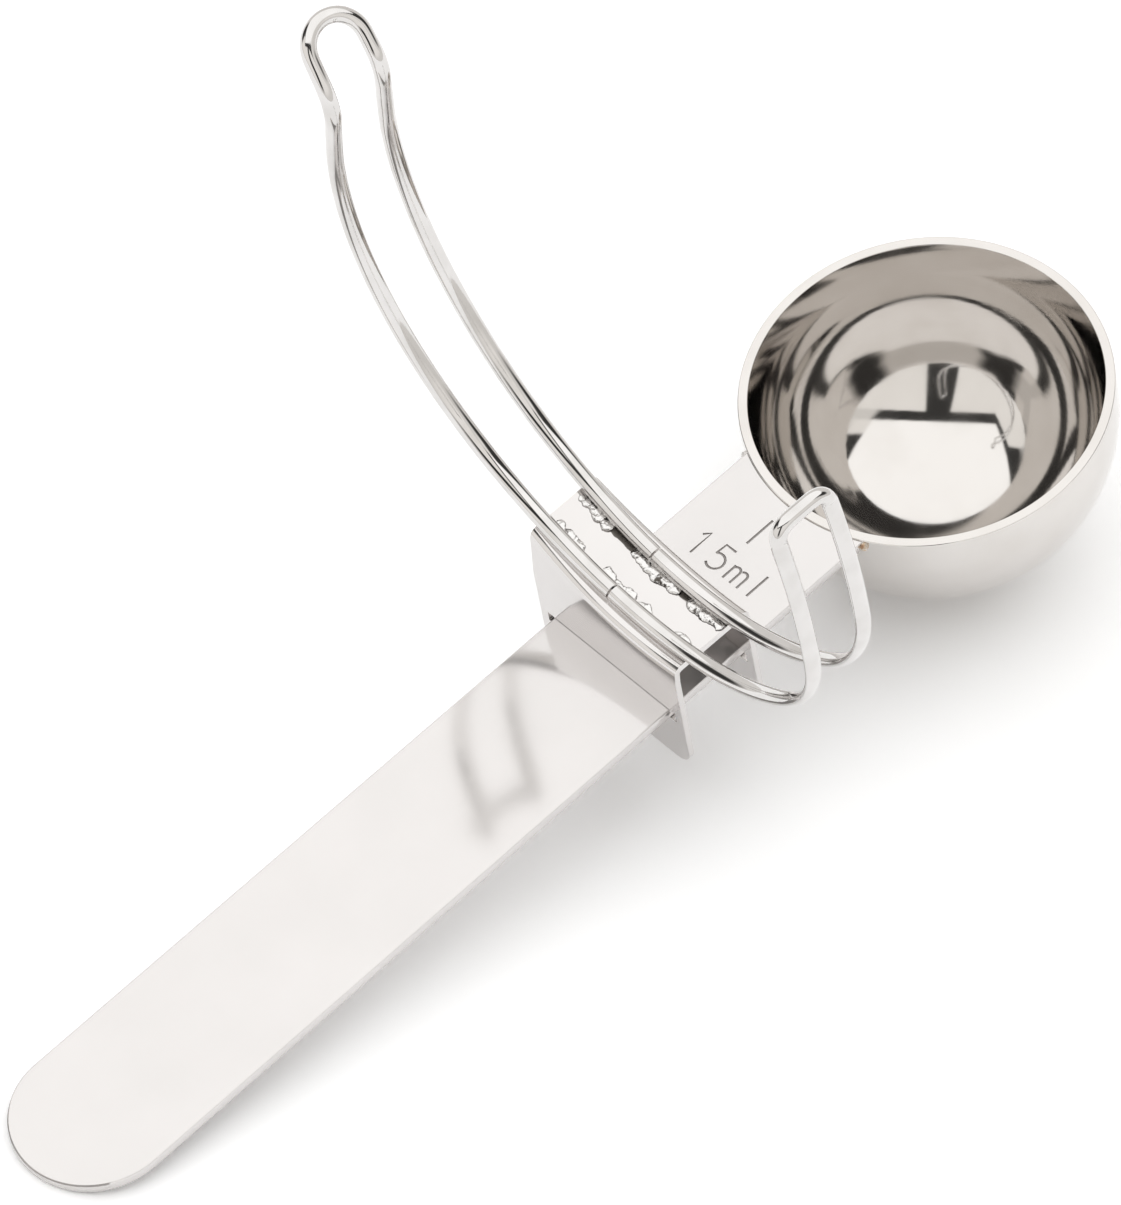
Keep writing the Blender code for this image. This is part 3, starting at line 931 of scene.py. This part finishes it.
def wireGroup():
    # a wire along a guide: rounded at its bends, as wide as told and pressed flat where told
    labels = ("step", "rounding", "sides")
    group, tree, given, curve = startGroup("pressed_wire", clipShape, labels)
    place = tree.add("GeometryNodeInputPosition")
    fixed = tree.add("GeometryNodeCurveEndpointSelection", {}, {"Start Size": 2, "End Size": 2})
    inner = tree.add("FunctionNodeBooleanMath", {"operation": "NOT"}, {0: fixed})
    smooth = tree.add("GeometryNodeBlurAttribute", {"data_type": "FLOAT_VECTOR"},
                      {"Value": place, "Iterations": given.out("rounding")})
    curve = tree.add("GeometryNodeSetPosition", {},
                     {"Geometry": curve, "Selection": inner, "Position": smooth})
    curve = tree.add("GeometryNodeStoreNamedAttribute",
                     {"data_type": "FLOAT_VECTOR", "domain": "POINT"},
                     {"Geometry": curve, "Name": "middle", "Value": place})
    ring = tree.add("GeometryNodeCurvePrimitiveCircle", {"mode": "RADIUS"},
                    {"Resolution": given.out("sides"), "Radius": 0.5})   # one across
    skin = tree.add("GeometryNodeCurveToMesh", {},
                    {"Curve": curve, "Profile Curve": ring, "Scale": named(tree, "wide", "FLOAT"),
                     "Fill Caps": True})

    # press the skin towards its middle along the flat normal
    away = tree.vector("SUBTRACT", place, named(tree, "middle", "FLOAT_VECTOR"))
    normal = tree.add("ShaderNodeVectorMath", {"operation": "NORMALIZE"},
                      {0: named(tree, "flatWay", "FLOAT_VECTOR")})
    depth = tree.vector("DOT_PRODUCT", away, normal)
    shift = tree.vector("SCALE", normal, depth * (named(tree, "press", "FLOAT") - 1.0))
    skin = tree.add("GeometryNodeSetPosition", {}, {"Geometry": skin, "Offset": shift})
    finishGroup(tree, skin, given)
    return group


def makeWire(name, group, samples, sizes, material, node):
    points = [point for point, _ in samples]
    numbers = {"wide": [wide for wide, _ in sizes],
               "press": [thick / wide for wide, thick in sizes]}
    guide = guideMesh(points, numbers, {"flatWay": [normal for _, normal in samples]})
    mesh = runGroup(group, guide, {"metal": material})
    for label in ("flatWay", "wide", "press", "middle"):
        mesh.attributes.remove(mesh.attributes[label])
    mesh.transform(clipFrame)
    shadeByAngle(mesh, clipShape["sharpAngle"])
    addPiece(name, mesh, material, "clip", [node])


# Saddle

saddleShape = {
    "length": 10.2 * mm,         # along the handle
    "halfWidth": 10.1 * mm,
    "sheet": 0.65 * mm,          # its thickness
    "bend": 1.0 * mm,
    "drop": 8.0 * mm,            # of the flanges under the handle's face
    "corner": 2.2 * mm,
    "crease": 6.0 * mm,          # over this height the flanges lean in
    "lean": radians(5),
    "slotSideGap": 0.65 * mm,    # round the strip, at its sides and at its faces
    "slotGap": 0.09 * mm,
    "webGap": 0.04 * mm,         # between the wires and the web
    "edgeRound": 0.1 * mm,
    "edgeSteps": 2,
    "edgeAngle": radians(55),
    "sharpAngle": radians(20),
    "columns": 60,
    "cornerSteps": 10,
    "riseSteps": 8,
    "bendSteps": 10,
    "webSteps": 4,               # from a bend to the middle
    "overrun": 3.0 * mm,         # how far the slots' cutter sticks out
}


def webHeight(y):
    return wireHeight(y) - clipShape["wireSize"] / 2 - saddleShape["webGap"]


def saddleColumn(y):
    # the sheet's outer face at y, up one flange, over the web and down the other
    top = webHeight(y)
    half = saddleShape["length"] / 2
    bend = saddleShape["bend"]
    past = abs(y) - (saddleShape["halfWidth"] - saddleShape["corner"])
    foot = -saddleShape["drop"]
    if past > 0:
        foot += saddleShape["corner"] - sqrt(max(saddleShape["corner"] ** 2 - past ** 2, 0))
    crease = min(saddleShape["crease"], top - bend)
    lean = tan(saddleShape["lean"]) * (top - bend - crease)
    steps = saddleShape["riseSteps"]
    rise = [(-half, foot + (crease - foot) * i / steps) for i in range(steps + 1)]
    over = arc((lean + bend - half, top - bend), bend, pi, pi / 2, saddleShape["bendSteps"])
    near = rise + over
    steps = saddleShape["webSteps"]
    web = [(over[-1][0] * i / steps, top) for i in reversed(range(steps))]
    return near + web + [(-x, z) for x, z in reversed(near + web[:-1])]


def saddleSides():
    # where the columns stand: closer together over the flanges' rounded corners
    corner = saddleShape["corner"]
    inner = saddleShape["halfWidth"] - corner
    steps = saddleShape["cornerSteps"]
    ends = [inner + corner * sin(pi / 2 * i / steps) for i in range(1, steps + 1)]
    count = saddleShape["columns"]
    middle = [-inner + 2 * inner * i / count for i in range(count + 1)]
    return [-end for end in reversed(ends)] + middle + ends


def makeSaddle(material):
    def build(bm):
        columns = [[bm.verts.new((x, y, z)) for x, z in saddleColumn(y)] for y in saddleSides()]
        for column, following in zip(columns, columns[1:]):
            for i in range(len(column) - 1):
                bm.faces.new((column[i], column[i + 1], following[i + 1], following[i]))

    def block(bm):
        widest = max(handleShape["tipWidth"], handleShape["neckWidth"])
        size = (saddleShape["length"] + 2 * saddleShape["overrun"],
                widest + 2 * saddleShape["slotSideGap"],
                scoop["handleThickness"] + 2 * saddleShape["slotGap"])
        place = Matrix.Translation((0, 0, -scoop["handleThickness"] / 2))
        bmesh.ops.create_cube(bm, size=1, matrix=place @ Matrix.Diagonal((*size, 1)))

    saddle = newObject(meshFrom(build))
    sheet = saddle.modifiers.new("sheet", "SOLIDIFY")
    sheet.thickness = saddleShape["sheet"]
    sheet.offset = -1            # inwards
    sheet.use_even_offset = True
    cutter = newObject(meshFrom(block))
    addCut(saddle, cutter)
    addRounding(saddle, saddleShape)
    mesh = plainMesh(saddle, cutter)
    mesh.transform(clipFrame)
    shadeByAngle(mesh, saddleShape["sharpAngle"])
    addPiece("saddle_sheet", mesh, material, "clip", ["clip_saddle"])


# Braze: ragged runs along the wires' inner sides

brazeShape = {
    "spans": {
        "lever": ((6.2 * mm, 8.8 * mm), (6.2 * mm, 9.4 * mm)),
        "butt": ((-2.6 * mm, 2.4 * mm), (-2.6 * mm, 2.2 * mm)),
        "hook": ((-9.3 * mm, -7.6 * mm), (-9.3 * mm, -6.0 * mm)),
    },
    "outward": (0.1 * mm, 0.15 * mm),  # from the wire's inner side, the left run and the right run
    "lift": 0.1 * mm,            # of the blobs' middles over the web
    "guideSteps": 12,
    "step": 0.55 * mm,
    "leastBlob": 0.3 * mm,
    "mostBlob": 0.85 * mm,
    "scatter": 0.16 * mm,
    "scatterUp": 0.2,            # a share of the scatter along the web
    "length": 1.3,               # a blob's length and height as shares of its width
    "flatness": 0.3,
    "ragged": 0.16 * mm,
    "raggedScale": 1100.0,
    "raggedUp": 0.4,             # a share of the raggedness along the web
    "fineness": 3,
    "voxel": 0.06 * mm,
    "band": 3.0,                 # voxels inwards from the skin that are kept
    "threshold": 0.1,
    "seed": 4,
}


def brazeGroup():
    # blobs of unlike size along a guide, melted into one skin
    labels = ("step", "leastBlob", "mostBlob", "scatter", "flatness", "ragged", "voxel", "seed")
    group, tree, given, curve = startGroup("braze_run", brazeShape, labels)
    points = tree.add("GeometryNodeCurveToPoints", {"mode": "EVALUATED"}, {"Curve": curve})
    scatter = given.out("scatter")
    reach = (1.0, 1.0, brazeShape["scatterUp"])
    offset = tree.add("FunctionNodeRandomValue", {"data_type": "FLOAT_VECTOR"},
                      {"Min": tree.vector("SCALE", reach, -scatter),
                       "Max": tree.vector("SCALE", reach, scatter), "Seed": given.out("seed")})
    points = tree.add("GeometryNodeSetPosition", {}, {"Geometry": points, "Offset": offset})
    size = tree.add("FunctionNodeRandomValue", {"data_type": "FLOAT"},
                    {"Min": given.out("leastBlob"), "Max": given.out("mostBlob"),
                     "Seed": given.out("seed") + 1.0})
    ball = tree.add("GeometryNodeMeshIcoSphere", {},
                    {"Radius": 1.0, "Subdivisions": brazeShape["fineness"]})
    scale = tree.add("ShaderNodeCombineXYZ", {}, {
        "X": size, "Y": size * brazeShape["length"], "Z": size * given.out("flatness")})
    blobs = tree.add("GeometryNodeInstanceOnPoints", {},
                     {"Points": points, "Instance": ball, "Scale": scale})
    blobs = tree.add("GeometryNodeRealizeInstances", {}, {"Geometry": blobs})
    melt = tree.add("GeometryNodeMeshToVolume", {"resolution_mode": "VOXEL_SIZE"},
                    {"Mesh": blobs, "Voxel Size": given.out("voxel"),
                     "Interior Band Width": given.out("voxel") * brazeShape["band"]})
    skin = tree.add("GeometryNodeVolumeToMesh", {},
                    {"Volume": melt, "Threshold": brazeShape["threshold"]})

    # tear the skin: the noise mostly keeps within a quarter of its middle, hence the factor 4
    place = tree.add("GeometryNodeInputPosition")
    torn = tree.noise(place, brazeShape["raggedScale"], detail=3.0).out("Color")
    torn = tree.vector("SUBTRACT", torn, (0.5, 0.5, 0.5))
    torn = tree.vector("SCALE", torn, given.out("ragged") * 4.0)
    torn = tree.vector("MULTIPLY", torn, (1.0, 1.0, brazeShape["raggedUp"]))
    skin = tree.add("GeometryNodeSetPosition", {}, {"Geometry": skin, "Offset": torn})
    finishGroup(tree, skin, given)
    return group


def makeBraze(group, material):
    inner = clipShape["webSpacing"] / 2 - clipShape["wireSize"] / 2
    steps = brazeShape["guideSteps"]
    for i, (place, spans) in enumerate(brazeShape["spans"].items()):
        for j, (side, sign) in enumerate((("left", 1), ("right", -1))):
            start, end = spans[j]
            across = -sign * (inner - brazeShape["outward"][j])
            along = [start + (end - start) * k / steps for k in range(steps + 1)]
            guide = guideMesh([(across, y, webHeight(y) + brazeShape["lift"]) for y in along])
            seed = brazeShape["seed"] + 2 * i + 7 * j
            mesh = runGroup(group, guide, {"metal": material, "seed": seed})
            lift = mesh.attributes.new("lift", "FLOAT", "POINT")
            lift.data.foreach_set("value", [v.co.z - webHeight(v.co.y) for v in mesh.vertices])
            mesh.transform(clipFrame)
            node = "braze_" + side + "_" + place
            addPiece("run_" + side + "_" + place, mesh, material, "clip", [node])


# Studio

studio = {
    "cameraPlace": (-682.1 * mm, -927.5 * mm, 1580.8 * mm),     # in the handle's frame
    "cameraTarget": (-41.36 * mm, 9.01 * mm, 0.0),
    "cameraRoll": radians(0.454),
    "lens": 597.5,
    "sensor": 36.0,
    "farthest": 20.0,
    "floorColour": (0.93, 0.93, 0.93),
    "floorShown": (1.18, 1.19, 1.205),  # to the camera and in the metal, white out of the shadow
    "floorHalf": 4.0,
    "softbox": 1.28,
    "softboxTone": (1.0, 0.995, 0.985),
    "panel": 1.0,
    "wall": 0.8,
    "wallTone": (1.0, 0.975, 0.94),
    "dark": 0.05,
    "spotSize": radians(19),
    "spotSoftness": 0.05,
}

# Planes through the object that bound the lights, as normals in the handle's frame
lightPlanes = {
    "up": (0.0, 0.0, 1.0),
    "front": (0.617, -0.458, 0.640),
    "side": (0.649, 0.520, 0.512),
    "left": (-0.186, 0.641, 0.745),
    "gapLeft": (0.478, -0.941, -0.041),
    "gapRight": (-0.772, 0.797, 0.134),
}

# The edges of the lights: a plane, how far past it the edge lies, and the edge's softness
lightEdges = {
    "boxFront": ("front", 0.015, 0.02),
    "boxSide": ("side", 0.096, 0.02),
    "boxFoot": ("up", cos(radians(59)), 0.06),
    "boxLeft": ("left", 0.0, 0.02),
    "wingSide": ("side", 0.24, 0.03),
    "panelFront": ("front", -0.036, 0.02),
    "panelSide": ("side", -0.016, 0.02),
    "panelEnd": ("side", 0.3, 0.03),
    "panelFoot": ("up", 0.25, 0.2),
    "gapLeft": ("gapLeft", 0.0, 0.03),
    "gapRight": ("gapRight", -0.045, 0.03),
    "gapFoot": ("up", 0.3, 0.2),
    "rimFoot": ("up", 0.65, 0.04),
}

# Middles of the dark places between the soft box and the walls, in the handle's frame
darkSpots = ((-0.340, 0.840, 0.423), (0.786, -0.436, 0.438))


def makeCamera():
    camera = newObject(bpy.data.cameras.new("camera"), "camera")
    place = handleFrame @ Vector(studio["cameraPlace"])
    target = handleFrame @ Vector(studio["cameraTarget"])
    turn = (target - place).to_track_quat("-Z", "Y").to_matrix().to_4x4()
    roll = Matrix.Rotation(studio["cameraRoll"], 4, "Z")
    camera.matrix_world = Matrix.Translation(place) @ turn @ roll
    camera.data.sensor_fit = "VERTICAL"
    camera.data.sensor_height = studio["sensor"]
    camera.data.lens = studio["lens"]
    camera.data.clip_end = studio["farthest"]
    bpy.context.scene.camera = camera


def makeWorld():
    # a large soft box overhead with a dimmer wing at its left, panels beside it that the dark gap
    # round the camera cuts through, a dark rim between box and panels, and grey walls all round
    world = bpy.data.worlds.new("studio")
    bpy.context.scene.world = world
    world.use_nodes = True
    tree = Tree(world.node_tree)
    way = tree.add("ShaderNodeTexCoord").out("Generated")
    way = tree.add("ShaderNodeMapping", {"vector_type": "TEXTURE"},
                   {"Vector": way, "Rotation": handleTurn})

    beyond = {name: tree.vector("DOT_PRODUCT", way, normal)
              for name, normal in lightPlanes.items()}

    def past(name):
        plane, place, softness = lightEdges[name]
        return beyond[plane].past(place, softness)

    whole = past("boxFront").least(past("boxSide")).least(past("boxFoot"))
    box = whole * past("boxLeft")
    wing = (whole - box) * (1 - past("wingSide"))
    beside = (1 - past("panelFront").least(past("panelSide"))) * (1 - past("panelEnd"))
    gap = past("gapLeft").least(past("gapRight"))
    panels = beside * (1 - gap) * past("panelFoot")
    rim = (1 - beside) * (1 - whole) * past("rimFoot")
    level = studio["wall"] * (1 - rim) * (1 - gap * past("gapFoot"))
    level = level * (1 - panels) + panels * studio["panel"]
    for place in darkSpots:
        near = tree.vector("DOT_PRODUCT", way, place)
        level = level * (1 - near.past(cos(studio["spotSize"]), studio["spotSoftness"]))
    level = level * (1 - whole) + box * studio["softbox"] + wing * studio["panel"] + studio["dark"]
    tone = tree.mix(box, studio["wallTone"], studio["softboxTone"])
    light = tree.add("ShaderNodeBackground", {}, {"Color": tone, "Strength": level})
    white = tree.add("ShaderNodeBackground", {}, {"Color": (1, 1, 1), "Strength": 1.0})
    seen = tree.add("ShaderNodeLightPath").out("Is Camera Ray")
    both = tree.add("ShaderNodeMixShader", {}, {0: seen, 1: light, 2: white})
    tree.add("ShaderNodeOutputWorld", {}, {"Surface": both})


def makeFloor():
    half = studio["floorHalf"]
    mesh = bpy.data.meshes.new("floor")
    corners = [(-half, -half, 0), (half, -half, 0), (half, half, 0), (-half, half, 0)]
    mesh.from_pydata(corners, [], [(0, 1, 2, 3)])
    material, tree = newMaterial("pale_floor")
    ray = tree.add("ShaderNodeLightPath")
    seen = ray.out("Is Camera Ray").most(ray.out("Is Glossy Ray"))
    colour = tree.mix(seen, studio["floorColour"], studio["floorShown"])
    shader = tree.add("ShaderNodeBsdfDiffuse", {}, {"Color": colour})
    tree.add("ShaderNodeOutputMaterial", {}, {"Surface": shader})
    mesh.materials.append(material)
    newObject(mesh, "floor")


def main():
    polish = makePolish()
    strip = makeStrip("satin_strip", stripLook, shadeGrooves)
    sheet = makeStrip("satin_sheet", sheetLook, paintShadeByArms)
    wire = makeWireMetal()
    weld = makeWeldMetal()
    braze = makeBrazeMetal()
    print("materials made")

    makeBowl(polish)
    makeHandle(strip)
    makeWelds(weld)
    makeSaddle(sheet)
    pressedWire = wireGroup()
    makeWire("lever_bent", pressedWire, *leverSamples(), wire, "lever_wire")
    makeWire("hook_bent", pressedWire, *hookSamples(), wire, "hook_wire")
    makeBraze(brazeGroup(), braze)
    print("pieces made")

    makeCamera()
    makeWorld()
    makeFloor()
    bpy.context.scene.view_settings.view_transform = "Standard"
    print("studio made")


main()
